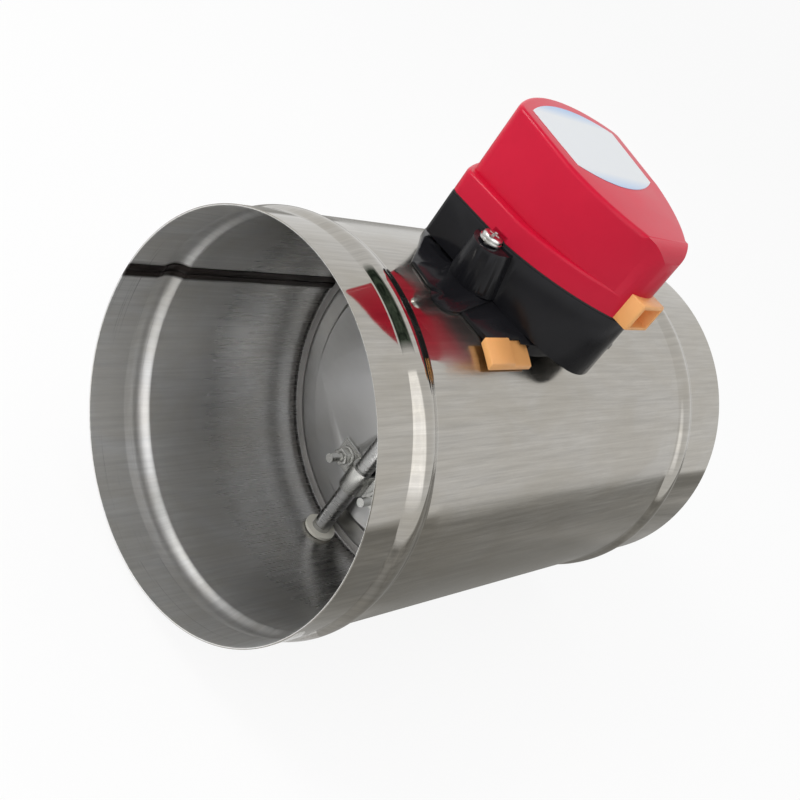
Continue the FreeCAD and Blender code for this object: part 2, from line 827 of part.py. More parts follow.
def make_spacers():
    sleeves = []
    for place in board_posts():
        sleeve = rod(post_radius, board_gap, *place, deck_top_z)
        sleeves.append(sleeve.cut(rod(small_screw_radius + running_clearance, board_gap, *place, deck_top_z)))
    return Part.makeCompound(sleeves)


def make_terminals():
    half = terminal_width / 2
    low = board_z + board_sheet
    body = block(-half, half, terminal_y, terminal_y + terminal_depth, low, low + terminal_height)
    pitch = terminal_width / terminal_ways
    for way in range(terminal_ways):
        x = -half + pitch * (way + 0.5)
        body = body.cut(rod(pitch / 3, terminal_well, x, terminal_y + terminal_depth / 2,
                            low + terminal_height - terminal_well))
        body = body.cut(block(x - pitch / 3, x + pitch / 3, terminal_y, terminal_y + terminal_gate,
                              low + terminal_sill, low + terminal_sill + terminal_gate))
    return body


# Cable sockets

def make_socket():
    front = nose_y - socket_length + socket_inset
    body = block(-socket_half_width, socket_half_width, front, nose_y + socket_root, parting_z,
                 parting_z + socket_height)
    corners = [e for e in body.Edges if e.BoundBox.YMax < front + near]
    body = body.makeChamfer(socket_corner, corners)
    half = socket_half_width - socket_wall
    mouth = block(-half, half, front, front + socket_depth,
                  parting_z + socket_wall, parting_z + socket_height - socket_wall)
    return body.cut(mouth)


def low_socket_body(left, right, height, gap):
    front, rear = foot_nose[1] - low_socket_reach, foot_nose[1] + low_socket_root
    body = block(left - gap, right + gap, front - gap, rear + gap, duct_radius / 2, duct_radius)
    outer = Part.makeCylinder(duct_radius + height + gap, 4 * tall, Vector(-2 * tall, 0, 0), ALONG)
    inner = Part.makeCylinder(duct_radius + seat_gap + foot_thickness + low_socket_gap - gap, 4 * tall,
                              Vector(-2 * tall, 0, 0), ALONG)
    return body.common(outer).cut(inner)


def low_socket_space():
    return low_socket_body(low_socket_x[0], low_socket_x[2], low_socket_height, low_socket_gap)


def make_low_socket():
    left, middle, right = low_socket_x
    plug = low_socket_body(left, middle, low_socket_height, 0)
    return plug.fuse(low_socket_body(middle, right, low_socket_height - low_socket_step, 0))


os.makedirs("parts", exist_ok=True)
export("duct_tube", make_duct())
export("upper_bush", make_bush(1))
export("lower_bush", make_bush(-1))
export("blade_disc", make_blade())
export("blade_seal", make_seal())
export("blade_shaft", make_shaft())
export("shaft_clip", make_clip())
export("shaft_straps", make_straps())
export("blade_bolts", make_bolts())
export("bolt_washers", make_washers())
export("blade_nuts", make_nuts())
export("mounting_bracket", make_bracket())
export("bracket_screws", make_bracket_screws())
export("actuator_base", make_base())
export("base_screws", make_side_screws())
export("cover_gasket", make_gasket())
export("actuator_cover", make_cover())
export("cover_screws", make_cover_screws())
export("label_plate", make_label())
export("output_gear", make_output_gear())
export("gear_pin", make_cross_pin())
export("idler_pinion", make_idler_pinion())
export("idler_gear", make_idler_gear())
export("idler_axle", make_axle())
export("motor_pinion", make_motor_pinion())
export("gear_deck", make_deck())
export("deck_screws", small_screws(deck_posts(), deck_top_z, deck_screw_length))
export("motor_body", make_motor())
export("motor_screws", small_screws(motor_screw_places(), deck_top_z + motor_flange_sheet,
                                    motor_screw_length))
export("circuit_board", make_board())
export("board_spacers", make_spacers())
export("board_screws", small_screws(board_posts(), board_z + board_sheet,
                                    board_gap + board_sheet + board_screw_bite))
export("terminal_block", make_terminals())
export("cable_socket", make_socket())
export("lower_socket", make_low_socket())
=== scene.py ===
import bmesh
import bpy
import json
import math
from mathutils import Matrix, Vector

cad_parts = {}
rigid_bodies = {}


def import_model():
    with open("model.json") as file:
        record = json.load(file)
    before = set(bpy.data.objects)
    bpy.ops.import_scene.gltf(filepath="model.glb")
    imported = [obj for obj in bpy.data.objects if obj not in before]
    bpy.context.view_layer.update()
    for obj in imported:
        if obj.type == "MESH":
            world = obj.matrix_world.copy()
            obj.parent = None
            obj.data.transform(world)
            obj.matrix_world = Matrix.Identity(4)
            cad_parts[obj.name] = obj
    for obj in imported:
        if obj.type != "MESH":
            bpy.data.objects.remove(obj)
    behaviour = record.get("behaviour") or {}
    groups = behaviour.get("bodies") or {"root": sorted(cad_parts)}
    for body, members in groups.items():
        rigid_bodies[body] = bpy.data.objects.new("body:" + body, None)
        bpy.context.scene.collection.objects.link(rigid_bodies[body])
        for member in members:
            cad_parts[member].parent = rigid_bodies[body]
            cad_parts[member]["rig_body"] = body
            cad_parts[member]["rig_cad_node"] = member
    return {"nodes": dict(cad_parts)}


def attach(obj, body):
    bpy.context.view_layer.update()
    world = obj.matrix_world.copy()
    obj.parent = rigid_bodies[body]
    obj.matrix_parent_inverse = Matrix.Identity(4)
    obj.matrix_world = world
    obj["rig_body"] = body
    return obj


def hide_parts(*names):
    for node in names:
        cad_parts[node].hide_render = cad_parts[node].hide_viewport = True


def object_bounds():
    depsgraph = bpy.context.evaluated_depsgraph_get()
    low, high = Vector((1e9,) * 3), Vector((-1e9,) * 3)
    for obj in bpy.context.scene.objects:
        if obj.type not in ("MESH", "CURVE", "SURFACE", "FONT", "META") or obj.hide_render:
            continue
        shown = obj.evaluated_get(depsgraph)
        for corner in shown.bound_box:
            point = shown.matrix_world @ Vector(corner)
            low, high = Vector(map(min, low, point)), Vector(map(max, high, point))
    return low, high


# Motorised round duct damper. Metres, duct along X, blade shaft along Z.

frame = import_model()
nodes = frame["nodes"]
cadLow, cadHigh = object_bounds()
scene = bpy.context.scene
mm = 0.001
meshing = {"sharp": 32, "round": 35, "flat": 2, "merge": 0.001 * mm, "copyMerge": 0.002 * mm}
print("frame loaded", len(nodes), "nodes")


# Small helpers for work in edit mode

def deselectAll():
    if bpy.context.object and bpy.context.object.mode != "OBJECT":
        bpy.ops.object.mode_set(mode="OBJECT")
    bpy.ops.object.select_all(action="DESELECT")


def makeActive(piece):
    deselectAll()
    piece.select_set(True)
    bpy.context.view_layer.objects.active = piece


def startPiece(name):
    piece = bpy.context.object
    piece.name = name
    piece.data.name = name
    return piece


def freeze(piece):
    makeActive(piece)
    bpy.ops.object.transform_apply(location=True, rotation=True, scale=True)


def applyModifier(piece, kind, **settings):
    makeActive(piece)
    modifier = piece.modifiers.new(kind.lower(), kind)
    for key, value in settings.items():
        setattr(modifier, key, value)
    bpy.ops.object.modifier_apply(modifier=modifier.name)


def smooth(piece, degrees):
    makeActive(piece)
    bpy.ops.object.shade_smooth_by_angle(angle=math.radians(degrees))


def outwardNormals(piece):
    makeActive(piece)
    bpy.ops.object.mode_set(mode="EDIT")
    bpy.ops.mesh.select_all(action="SELECT")
    bpy.ops.mesh.remove_doubles(threshold=meshing["merge"])
    bpy.ops.mesh.normals_make_consistent(inside=False)
    bpy.ops.object.mode_set(mode="OBJECT")


def cutOut(piece, tool, operation="DIFFERENCE"):
    applyModifier(piece, "BOOLEAN", object=tool, operation=operation, solver="EXACT")
    bpy.data.objects.remove(tool, do_unlink=True)


def roundEdges(piece, width, segments, degrees=meshing["round"]):
    applyModifier(piece, "BEVEL", width=width, segments=segments, limit_method="ANGLE",
                  angle_limit=math.radians(degrees), use_clamp_overlap=True, harden_normals=False)


# Only the sharp edges that the test picks by their middle point are rounded
def roundChosen(piece, width, segments, chosen):
    form = bmesh.new()
    form.from_mesh(piece.data)
    layer = form.edges.layers.float.new("bevel_weight_edge")
    for edge in form.edges:
        middle = (edge.verts[0].co + edge.verts[1].co) / 2
        sharp = len(edge.link_faces) == 2 and edge.calc_face_angle(0) > math.radians(meshing["sharp"])
        edge[layer] = 1.0 if sharp and chosen(middle) else 0.0
    form.to_mesh(piece.data)
    form.free()
    applyModifier(piece, "BEVEL", width=width, segments=segments, limit_method="WEIGHT",
                  use_clamp_overlap=False)


# A ring is extruded along X from station to station, as a spinning shop would form it
def turnedShell(name, stations, segments):
    startX, startRadius = stations[0]
    deselectAll()
    bpy.ops.mesh.primitive_circle_add(vertices=segments, radius=startRadius, fill_type="NOTHING",
                                      location=(startX, 0, 0), rotation=(0, math.pi / 2, 0))
    piece = startPiece(name)
    freeze(piece)
    bpy.ops.object.mode_set(mode="EDIT")
    bpy.ops.mesh.select_all(action="SELECT")
    lastX, lastRadius = startX, startRadius
    for x, radius in stations[1:] + [stations[0]]:
        bpy.ops.mesh.extrude_region_move(TRANSFORM_OT_translate={"value": (x - lastX, 0, 0)})
        ratio = radius / lastRadius
        bpy.ops.transform.resize(value=(1, ratio, ratio), center_override=(x, 0, 0))
        lastX, lastRadius = x, radius
    bpy.ops.object.mode_set(mode="OBJECT")
    outwardNormals(piece)
    return piece


# Materials

def newMaterial(name):
    material = bpy.data.materials.new(name)
    material.use_nodes = True
    tree = material.node_tree
    shader = tree.nodes["Principled BSDF"]
    return material, tree, shader


def addNode(tree, kind, **inputs):
    node = tree.nodes.new(kind)
    for key, value in inputs.items():
        if key in node.inputs:
            node.inputs[key].default_value = value
        else:
            setattr(node, key, value)
    return node


def objectCoordinates(tree, scale=(1, 1, 1)):
    where = addNode(tree, "ShaderNodeTexCoord")
    mapping = addNode(tree, "ShaderNodeMapping", Scale=scale)
    tree.links.new(where.outputs["Object"], mapping.inputs["Vector"])
    return mapping.outputs["Vector"]


def mathNode(tree, operation, first, second=None):
    node = addNode(tree, "ShaderNodeMath", operation=operation)
    for socket, value in zip(node.inputs, (first, second)):
        if value is None:
            continue
        if isinstance(value, (int, float)):
            socket.default_value = value
        else:
            tree.links.new(value, socket)
    return node.outputs[0]


def spread(tree, value, fromLow, fromHigh, toLow, toHigh):
    node = addNode(tree, "ShaderNodeMapRange")
    tree.links.new(value, node.inputs["Value"])
    for key, number in (("From Min", fromLow), ("From Max", fromHigh), ("To Min", toLow), ("To Max", toHigh)):
        node.inputs[key].default_value = number
    return node.outputs["Result"]


def noise(tree, vector, scale, detail, roughness=0.5, distortion=0.0):
    node = addNode(tree, "ShaderNodeTexNoise", Scale=scale, Detail=detail, Roughness=roughness,
                   Distortion=distortion)
    tree.links.new(vector, node.inputs["Vector"])
    return node.outputs["Fac"]


def blendColours(tree, factor, first, second, mode="MIX"):
    node = addNode(tree, "ShaderNodeMix", data_type="RGBA", blend_type=mode)
    sockets = [s for s in node.inputs if s.type == "RGBA"]
    if isinstance(factor, (int, float)):
        node.inputs[0].default_value = factor
    else:
        tree.links.new(factor, node.inputs[0])
    for socket, value in zip(sockets, (first, second)):
        if isinstance(value, (tuple, list)):
            socket.default_value = (*value[:3], 1)
        else:
            tree.links.new(value, socket)
    return [s for s in node.outputs if s.type == "RGBA"][0]


def addBump(tree, shader, heights):
    previous = None
    for height, distance, strength in heights:
        bump = addNode(tree, "ShaderNodeBump", Distance=distance, Strength=strength)
        tree.links.new(height, bump.inputs["Height"])
        if previous:
            tree.links.new(previous, bump.inputs["Normal"])
        previous = bump.outputs["Normal"]
    tree.links.new(previous, shader.inputs["Normal"])


surface = {"broad": (45, 5, 0.6), "band": (0.3, 0.7), "fineDetail": 3, "coatRough": 0.09, "relief": 0.6}


# One recipe for moulded, machined and plated pieces: mottled colour, uneven gloss and fine grain
def finishMaterial(name, colour, roughness, metallic=0.0, mottle=0.12, grain=900, grainDepth=0.00002,
                   stretch=(1, 1, 1), coat=0.0, specular=0.5, roughSpread=0.08):
    material, tree, shader = newMaterial(name)
    place = objectCoordinates(tree, stretch)
    broad = noise(tree, place, *surface["broad"])
    fine = noise(tree, place, grain, surface["fineDetail"])
    dark = tuple(c * (1 - mottle) for c in colour)
    light = tuple(min(1, c * (1 + mottle)) for c in colour)
    low, high = roughness - roughSpread / 2, roughness + roughSpread / 2
    tree.links.new(blendColours(tree, spread(tree, broad, *surface["band"], 0, 1), dark, light),
                   shader.inputs["Base Color"])
    tree.links.new(spread(tree, broad, *surface["band"], low, high), shader.inputs["Roughness"])
    shader.inputs["Metallic"].default_value = metallic
    shader.inputs["Specular IOR Level"].default_value = specular
    shader.inputs["Coat Weight"].default_value = coat
    shader.inputs["Coat Roughness"].default_value = surface["coatRough"]
    addBump(tree, shader, [(fine, grainDepth, surface["relief"])])
    return material


seam = {"turn": 85.6, "widths": (2.5 * mm, 2.1 * mm), "height": 0.25 * mm, "sink": 0.03 * mm,
        "apart": 3.3 * mm, "rows": 9, "depth": 0.3 * mm, "endGap": 0.6 * mm, "smooth": 60,
        "waves": ((0.12, 900), (0.08, 2300)), "widthSway": 0.5, "sideSway": 0.3}

# The inside colour is the outside steel painted brighter: painted light on the duct's interior. The shade and
# shaded entries add painted shade deeper in.
ductFinish = {"outside": (0.40, 0.385, 0.355), "inside": (0.90, 0.90, 0.895),
              "bodyRough": 0.19, "collarRough": 0.05, "insideRough": 0.27, "mouthRough": 0.46,
              "frontCollar": (31 * mm, 36 * mm), "rearCollar": (186 * mm, 191 * mm),
              "mouth": (12 * mm, 60 * mm),
              "streaks": ((8, 14), 3.0, 8, 0.68, 0.3), "streakBand": (0.35, 0.65),
              "patches": ((16, 2.2), 1.6, 4, 0.6, 0.6), "patchBand": (0.38, 0.62),
              "brush": ((25, 260), 2.0, 3, 0.6, 0.0), "rings": ((1500, 0.9), 1.0, 3, 0.55, 0.0),
              "swing": (0.13, 0.08), "patchTint": (0.84, 0.80, 0.72), "patchShare": 0.4,
              "shade": 0.46, "shaded": (30 * mm, 60 * mm),
              "scratch": (0.09, 0.085, 0.08), "scratched": 35 * mm, "scratchShare": (0.5, 0.06),
              "scratchBand": (0.63, 0.72),
              "heatTint": (0.03, 0.024, 0.022), "tintEdge": (0.034, 0.056),
              "tintSway": 0.012, "tintShare": 0.92,
              "unevenRough": 0.03, "collarUneven": 0.2, "collarRelief": 0.06,
              "brushDepth": 0.02 * mm, "brushStrength": (0.3, 0.12),
              "dentDepth": 0.4 * mm, "dentStrength": 0.05}


# Rolled stainless sheet: streaks along the duct outside, fine scratches round the duct near its mouth
def ductMaterial(name, colour, rough, collarRough, inside):
    material, tree, shader = newMaterial(name)
    where = addNode(tree, "ShaderNodeTexCoord").outputs["Object"]
    parts = addNode(tree, "ShaderNodeSeparateXYZ")
    tree.links.new(where, parts.inputs["Vector"])
    along = parts.outputs["X"]
    turn = mathNode(tree, "ARCTAN2", parts.outputs["Y"], parts.outputs["Z"])

    # A pattern on the unrolled sheet, its two scales being along the duct and round it
    def sheetNoise(pattern):
        (alongScale, turnScale), *settings = ductFinish[pattern]
        joined = addNode(tree, "ShaderNodeCombineXYZ")
        tree.links.new(mathNode(tree, "MULTIPLY", along, alongScale), joined.inputs["X"])
        tree.links.new(mathNode(tree, "MULTIPLY", turn, turnScale), joined.inputs["Y"])
        return noise(tree, joined.outputs["Vector"], *settings)

    streaks, patches, brush, rings = map(sheetNoise, ("streaks", "patches", "brush", "rings"))
    swing = ductFinish["swing"][inside]
    tone = blendColours(tree, spread(tree, streaks, *ductFinish["streakBand"], 0, 1),
                        tuple(c * (1 - swing) for c in colour), tuple(c * (1 + swing) for c in colour))
    patchShare = spread(tree, patches, *ductFinish["patchBand"], 0, ductFinish["patchShare"])
    tone = blendColours(tree, patchShare, tone, tuple(c * t for c, t in zip(colour, ductFinish["patchTint"])))
    if inside:
        # Painted shade: the inside colour is multiplied down to the shade value across the shaded span,
        # darker deeper into the duct.
        paintedShadeInward = spread(tree, along, *ductFinish["shaded"], 0, 1)
        tone = blendColours(tree, paintedShadeInward, tone, (ductFinish["shade"],) * 3, "MULTIPLY")
        scratch = spread(tree, rings, *ductFinish["scratchBand"], 0, 1)
        nearMouth = spread(tree, along, 0, ductFinish["scratched"], *ductFinish["scratchShare"])
        tone = blendColours(tree, mathNode(tree, "MULTIPLY", scratch, nearMouth), tone, ductFinish["scratch"])
        offSeam = mathNode(tree, "ABSOLUTE", mathNode(tree, "SUBTRACT", turn, math.radians(seam["turn"])))
        sway = ductFinish["tintSway"]
        ragged = mathNode(tree, "ADD", offSeam, spread(tree, streaks, *surface["band"], -sway, sway))
        tint = spread(tree, ragged, *ductFinish["tintEdge"], ductFinish["tintShare"], 0)
        tone = blendColours(tree, tint, tone, ductFinish["heatTint"])
    tree.links.new(tone, shader.inputs["Base Color"])
    shader.inputs["Metallic"].default_value = 1.0
    if inside:
        body = spread(tree, along, *ductFinish["mouth"], 0, 1)
    else:
        body = mathNode(tree, "MULTIPLY", spread(tree, along, *ductFinish["frontCollar"], 0, 1),
                        spread(tree, along, *ductFinish["rearCollar"], 1, 0))
    base = spread(tree, body, 0, 1, collarRough, rough)
    swing = ductFinish["unevenRough"]
    uneven = mathNode(tree, "MULTIPLY", spread(tree, streaks, *ductFinish["streakBand"], -swing, swing),
                      spread(tree, body, 0, 1, ductFinish["collarUneven"], 1))
    tree.links.new(mathNode(tree, "ADD", base, uneven), shader.inputs["Roughness"])
    relief = mathNode(tree, "MULTIPLY", brush, spread(tree, body, 0, 1, ductFinish["collarRelief"], 1))
    addBump(tree, shader, [(relief, ductFinish["brushDepth"], ductFinish["brushStrength"][inside]),
                           (patches, ductFinish["dentDepth"], ductFinish["dentStrength"])])
    return material


steelOutside = ductMaterial("steelOutside", ductFinish["outside"], ductFinish["bodyRough"],
                            ductFinish["collarRough"], False)
# Same steel as the outside, painted brighter inside: painted light.
steelInsidePaintedLight = ductMaterial("steelInsidePaintedLight", ductFinish["inside"], ductFinish["insideRough"],
                           ductFinish["mouthRough"], True)

materials = {
    "blade": finishMaterial("bladeSheet", (0.52, 0.52, 0.52), 0.30, 1.0, 0.05, 700, 0.000002, (1, 1, 3),
                            roughSpread=0.04),
    "zinc": finishMaterial("zincPlate", (0.62, 0.62, 0.60), 0.26, 1.0, 0.12, 1500),
    "shaft": finishMaterial("turnedSteel", (0.48, 0.48, 0.48), 0.28, 1.0, 0.10, 1400, 0.00001, (1, 1, 12)),
    "deck": finishMaterial("platedSheet", (0.55, 0.55, 0.53), 0.35, 1.0),
    "motor": finishMaterial("motorCan", (0.30, 0.31, 0.33), 0.4, 0.6),
    "nylon": finishMaterial("naturalNylon", (0.78, 0.76, 0.68), 0.5, 0.0, 0.05),
    "seal": finishMaterial("sealRubber", (0.30, 0.29, 0.28), 0.62, 0.0, 0.15),
    "gasket": finishMaterial("gasketRubber", (0.02, 0.02, 0.02), 0.7),
    "black": finishMaterial("blackMoulding", (0.009, 0.009, 0.011), 0.17, 0.0, 0.2, 500, 0.00002,
                            specular=0.24),
    "red": finishMaterial("redMoulding", (0.60, 0.006, 0.036), 0.32, 0.0, 0.05, 620, 0.00001, coat=0.14,
                          specular=0.15),
    "orange": finishMaterial("orangeMoulding", (0.90, 0.44, 0.15), 0.38, 0.0, 0.06, 700, 0.00003),
    "board": finishMaterial("boardMask", (0.02, 0.17, 0.06), 0.35),
    "terminal": finishMaterial("terminalMoulding", (0.05, 0.25, 0.12), 0.45),
    "brass": finishMaterial("gearBrass", (0.75, 0.55, 0.25), 0.3, 1.0),
    "gearSteel": finishMaterial("gearSteel", (0.5, 0.5, 0.5), 0.3, 1.0),
    "gearPlastic": finishMaterial("gearMoulding", (0.8, 0.78, 0.7), 0.45),
    "seam": finishMaterial("heatTint", (0.026, 0.020, 0.018), 0.38, 0.6, 0.6, 260, 0.00006),
}


labelLook = {"blue": (0.30, 0.48, 0.76), "white": (0.72, 0.745, 0.77), "rear": 0.0255, "front": -0.0155,
             "fade": 0.007, "frontShare": 0.8, "mottle": (0.7, 0.72, 0.75), "mottleShare": 0.06,
             "grain": (300, 3), "grainBand": (0.4, 0.7), "depth": 0.02 * mm, "relief": 0.3,
             "rough": 0.32, "specular": 0.3}


# Bare printed film: white, shading to blue towards both short ends
def labelMaterial():
    material, tree, shader = newMaterial("labelFilm")
    place = objectCoordinates(tree)
    parts = addNode(tree, "ShaderNodeSeparateXYZ")
    tree.links.new(place, parts.inputs["Vector"])
    rear = spread(tree, parts.outputs["Y"], labelLook["rear"] - labelLook["fade"], labelLook["rear"], 0, 1)
    front = spread(tree, parts.outputs["Y"], labelLook["front"] + labelLook["fade"], labelLook["front"],
                   0, labelLook["frontShare"])
    ends = mathNode(tree, "MAXIMUM", rear, front)
    tone = blendColours(tree, ends, labelLook["white"], labelLook["blue"])
    mottle = noise(tree, place, *labelLook["grain"])
    mottled = spread(tree, mottle, *labelLook["grainBand"], 0, labelLook["mottleShare"])
    tone = blendColours(tree, mottled, tone, labelLook["mottle"])
    tree.links.new(tone, shader.inputs["Base Color"])
    shader.inputs["Roughness"].default_value = labelLook["rough"]
    shader.inputs["Specular IOR Level"].default_value = labelLook["specular"]
    addBump(tree, shader, [(mottle, labelLook["depth"], labelLook["relief"])])
    return material


materials["label"] = labelMaterial()
print("materials made", len(bpy.data.materials))


def wear(piece, key):
    piece.data.materials.clear()
    piece.data.materials.append(materials[key])


# Duct body

duct = {"radius": 74.5 * mm, "wall": 0.6 * mm, "length": 231.0 * mm, "bead": 1.8 * mm, "halfWidth": 6.3 * mm,
        "beads": (21.5 * mm, 197.0 * mm), "segments": 256, "beadSteps": 20, "fullness": 0.62,
        "lip": 0.15 * mm, "support": 0.35 * mm, "inward": -0.2, "smooth": 40}


def beadStations(centre, radius):
    steps = duct["beadSteps"]
    made = []
    for n in range(steps + 1):
        share = 2 * n / steps - 1
        lift = (math.cos(math.pi * share) + 1) / 2
        made.append((centre + share * duct["halfWidth"], radius + duct["bead"] * lift ** duct["fullness"]))
    return made


def ductStations():
    outer = [(duct["lip"], duct["radius"])]
    for centre in duct["beads"]:
        reach = duct["halfWidth"] + duct["support"]
        outer.append((centre - reach, duct["radius"]))
        outer += beadStations(centre, duct["radius"])
        outer.append((centre + reach, duct["radius"]))
    outer.append((duct["length"] - duct["lip"], duct["radius"]))
    inner = [(x, r - duct["wall"]) for x, r in reversed(outer)]
    middle = duct["radius"] - duct["wall"] / 2
    return outer + [(duct["length"], middle)] + inner + [(0, middle)]


ductShell = turnedShell("ductShell", ductStations(), duct["segments"])
ductShell.data.materials.append(steelOutside)
ductShell.data.materials.append(steelInsidePaintedLight)
for face in ductShell.data.polygons:
    radial = Vector((0, face.center.y, face.center.z)).normalized()
    face.material_index = 1 if face.normal.dot(radial) < duct["inward"] else 0
smooth(ductShell, duct["smooth"])
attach(ductShell, "duct")
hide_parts("duct_tube")


# The lap weld along the inside: two raised dark lines that follow the sheet over its beads
def makeSeam():
    inside = [(x, r - duct["wall"]) for x, r in ductStations() if r >= duct["radius"]]
    inside = [(min(x, duct["length"] - seam["endGap"]), r) for x, r in inside if 0 < x < duct["length"]]
    for side in (-1, 1):
        width = seam["widths"][0 if side < 0 else 1]
        middle = math.radians(seam["turn"]) + side * seam["apart"] / 2 / duct["radius"]
        deselectAll()
        bpy.ops.mesh.primitive_grid_add(x_subdivisions=len(inside) - 1, y_subdivisions=seam["rows"] - 1)
        strip = startPiece("weldLine" + ("Low" if side > 0 else "High"))
        for index, vertex in enumerate(strip.data.vertices):
            x, radius = inside[index % len(inside)]
            across = 2 * (index // len(inside)) / (seam["rows"] - 1) - 1
            (long, longRate), (short, shortRate) = seam["waves"]
            wander = long * math.sin(x * longRate) + short * math.sin(x * shortRate + side)
            reach = across * (1 + wander * seam["widthSway"]) + wander * seam["sideSway"]
            turn = middle + reach * width / 2 / radius
            lift = seam["height"] * (1 - across ** 2) - seam["sink"]
            vertex.co = (x, (radius - lift) * math.sin(turn), (radius - lift) * math.cos(turn))
        applyModifier(strip, "SOLIDIFY", thickness=seam["depth"], offset=-1)
        smooth(strip, seam["smooth"])
        wear(strip, "seam")
        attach(strip, "duct")


makeSeam()
print("duct body done")


# Cover: a tall tier over a wider skirt

cover = {"x": 100 * mm, "cornerY": 19.5 * mm, "rise": 11 * mm, "sideEndY": -8 * mm,
         "tier": (32.2 * mm, 31 * mm), "skirt": (36.2 * mm, 34.6 * mm),
         "noseHalf": 8.5 * mm, "noseCornerY": -44 * mm, "noseY": -46.6 * mm, "noseInset": (0.5, 0.85),
         "bulge": 3.8 * mm, "parting": 94.6 * mm, "ledge": 103.5 * mm, "top": 128.7 * mm, "slope": 5.8,
         "bend": 9 * mm, "cornerRound": 2.5 * mm, "cornerSteps": 6, "arcSteps": 20, "bendSteps": 14,
         "edge": 1.7 * mm, "edgeSteps": 6, "edgeEndY": -38.4 * mm, "rimAbove": 5 * mm,
         "ledgeEdge": 1.3 * mm, "ledgeSteps": 5, "ledgeBand": 0.1 * mm, "wall": 2.2 * mm, "smooth": 28,
         "below": 4 * mm, "above": 20 * mm, "start": 30 * mm, "toolReach": 60 * mm, "toolFoot": 40 * mm,
         "trim": (100 * mm, 10 * mm)}


def arcThrough(start, middle, end, steps):
    a, b, c = (Vector(p) for p in (start, middle, end))
    d = 2 * (a.x * (b.y - c.y) + b.x * (c.y - a.y) + c.x * (a.y - b.y))
    aa, bb, cc = a.length_squared, b.length_squared, c.length_squared
    ux = (aa * (b.y - c.y) + bb * (c.y - a.y) + cc * (a.y - b.y)) / d
    uy = (aa * (c.x - b.x) + bb * (a.x - c.x) + cc * (b.x - a.x)) / d
    centre = Vector((ux, uy))
    first = math.atan2(a.y - uy, a.x - ux)
    whole = math.atan2(c.y - uy, c.x - ux) - first
    half = math.atan2(b.y - uy, b.x - ux) - first
    whole = (whole + math.pi) % (2 * math.pi) - math.pi
    half = (half + math.pi) % (2 * math.pi) - math.pi
    if whole * half < 0:
        whole += math.copysign(2 * math.pi, half)
    radius = (a - centre).length
    angles = [first + whole * n / steps for n in range(steps)]
    return [Vector((ux + radius * math.cos(t), uy + radius * math.sin(t))) for t in angles]


# The housing's plan: a bowed rear with rounded corners, bulging shoulders and a narrow nose
def housingPlan(widths, inset=0.0):
    cornerX, sideX = widths[0] - inset, widths[1] - inset
    cornerY, sideY = cover["cornerY"] - inset, cover["sideEndY"]
    acrossShare, alongShare = cover["noseInset"]
    noseHalf = cover["noseHalf"] - inset * acrossShare
    noseCornerY, noseY = cover["noseCornerY"] + inset * alongShare, cover["noseY"] + inset
    rise = cover["rise"] * cornerX / widths[0]
    steps = cover["arcSteps"]
    rear = arcThrough((-cornerX, cornerY), (0, cornerY + rise), (cornerX, cornerY), 2 * steps)
    start, end = Vector((sideX, sideY)), Vector((noseHalf, noseCornerY))
    run = (end - start).normalized()
    middle = (start + end) / 2 + Vector((-run.y, run.x)) * cover["bulge"]
    shoulder = arcThrough(start, middle, end, steps)
    nose = arcThrough((noseHalf, noseCornerY), (0, noseY), (-noseHalf, noseCornerY), steps)
    left = [Vector((-p.x, p.y)) for p in reversed(shoulder)]
    points = roundedRear(rear, cornerX, cornerY, sideX, sideY) + shoulder + nose
    return points + [Vector((-noseHalf, noseCornerY))] + left[:-1] + [Vector((-sideX, sideY))]


def roundedRear(rear, cornerX, cornerY, sideX, sideY):
    reach = cover["cornerRound"]
    kept = [p for p in rear if (p - Vector((cornerX, cornerY))).length > reach
            and (p - Vector((-cornerX, cornerY))).length > reach]
    corner = Vector((cornerX, cornerY))
    before = kept[-1]
    after = corner + (Vector((sideX, sideY)) - corner).normalized() * reach
    curve = []
    for n in range(cover["cornerSteps"] + 1):
        t = n / cover["cornerSteps"]
        curve.append(before * (1 - t) ** 2 + corner * 2 * t * (1 - t) + after * t ** 2)
    mirrored = [Vector((-p.x, p.y)) for p in reversed(curve)]
    return mirrored[:-1] + kept[:-1] + curve


def planPrism(name, points, low, high):
    deselectAll()
    bpy.ops.mesh.primitive_circle_add(vertices=len(points), radius=cover["start"], fill_type="NGON",
                                      location=(cover["x"], 0, low))
    piece = startPiece(name)
    freeze(piece)
    for vertex, point in zip(piece.data.vertices, points):
        vertex.co = (cover["x"] + point.x, point.y, low)
    bpy.ops.object.mode_set(mode="EDIT")
    bpy.ops.mesh.select_all(action="SELECT")
    bpy.ops.mesh.extrude_region_move(TRANSFORM_OT_translate={"value": (0, 0, high - low)})
    bpy.ops.object.mode_set(mode="OBJECT")
    outwardNormals(piece)
    return piece


